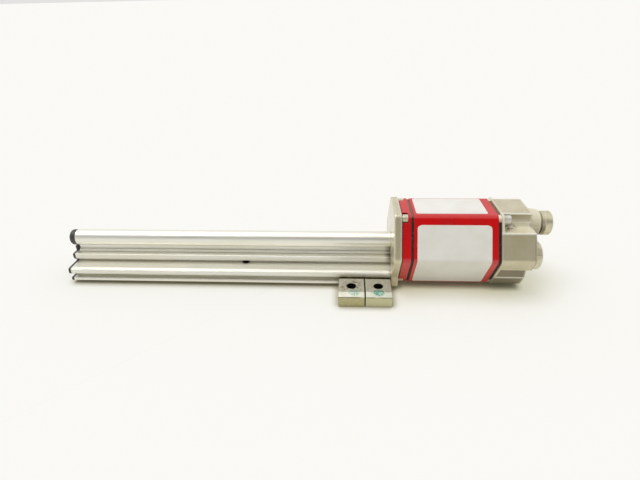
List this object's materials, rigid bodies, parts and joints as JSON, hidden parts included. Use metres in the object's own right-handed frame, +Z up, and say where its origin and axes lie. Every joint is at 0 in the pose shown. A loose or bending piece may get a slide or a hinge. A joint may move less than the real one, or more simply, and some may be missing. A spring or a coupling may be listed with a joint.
{
  "type": "magnetostrictive linear position sensor",
  "caption": "Rail-type magnetostrictive position sensor: slotted rail with a sensing tube, hexagonal head with end connectors, and mounting clamps that slide along the rail.",
  "frame": {"origin": "on the mounting surface under the clamps, below the middle of the overall length and width", "axes": "+X along the rail towards the connectors, +Y across the rail, +Z up from the mounting surface"},
  "size_m": [0.288, 0.068, 0.0476],
  "materials": {
    "rail_aluminium": "drawn, lightly brushed along its length",
    "dark_plastic": "moulded",
    "screw_steel": "plated",
    "cast_metal": "warm grey passivated casting",
    "seal_rubber": "matt",
    "red_coat": "red coat, satin",
    "connector_metal": "dull nickel plate",
    "insert_plastic": "moulded",
    "contact_brass": "plated",
    "liner_plastic": "extruded",
    "wire_alloy": "drawn",
    "coil_copper": "enamelled winding",
    "magnet_iron": "sintered",
    "board_green": "solder mask",
    "lead_plastic": "insulated",
    "clamp_steel": "sawn and worn",
    "label_film": "bare white film"
  },
  "bodies": {
    "sensor": {"rail_profile": "rail_aluminium", "rail_end_plate": "dark_plastic", "end_plate_screws": "screw_steel", "tube_end_plug": "dark_plastic", "front_flange": "cast_metal", "rail_screws": "screw_steel", "flange_gasket": "seal_rubber", "front_ring": "red_coat", "front_seal": "seal_rubber", "housing_sleeve": "red_coat", "rear_seal": "seal_rubber", "connector_cover": "cast_metal", "cover_screws": "screw_steel", "signal_connector_shell": "connector_metal", "signal_connector_seal": "seal_rubber", "signal_connector_insert": "insert_plastic", "signal_connector_pins": "contact_brass", "port_seal": "seal_rubber", "port_cap": "connector_metal", "waveguide_liner": "liner_plastic", "waveguide_damper": "seal_rubber", "waveguide_wire": "wire_alloy", "sensing_block": "insert_plastic", "pickup_coil": "coil_copper", "waveguide_anchor": "contact_brass", "bias_magnet": "magnet_iron", "board_carrier": "insert_plastic", "main_board": "board_green", "interface_board": "board_green", "connector_leads": "lead_plastic"},
    "clamp_inner": {"mounting_clamp_inner": "clamp_steel"},
    "clamp_outer": {"mounting_clamp_outer": "clamp_steel"}
  },
  "joints": [
    {"name": "clamp_inner_slide", "type": "slide", "parent": "sensor", "child": "clamp_inner", "axis": [1, 0, 0], "range_m": [-0.06, 0]},
    {"name": "clamp_outer_slide", "type": "slide", "parent": "clamp_inner", "child": "clamp_outer", "axis": [1, 0, 0], "range_m": [-0.105, 0]}
  ]
}
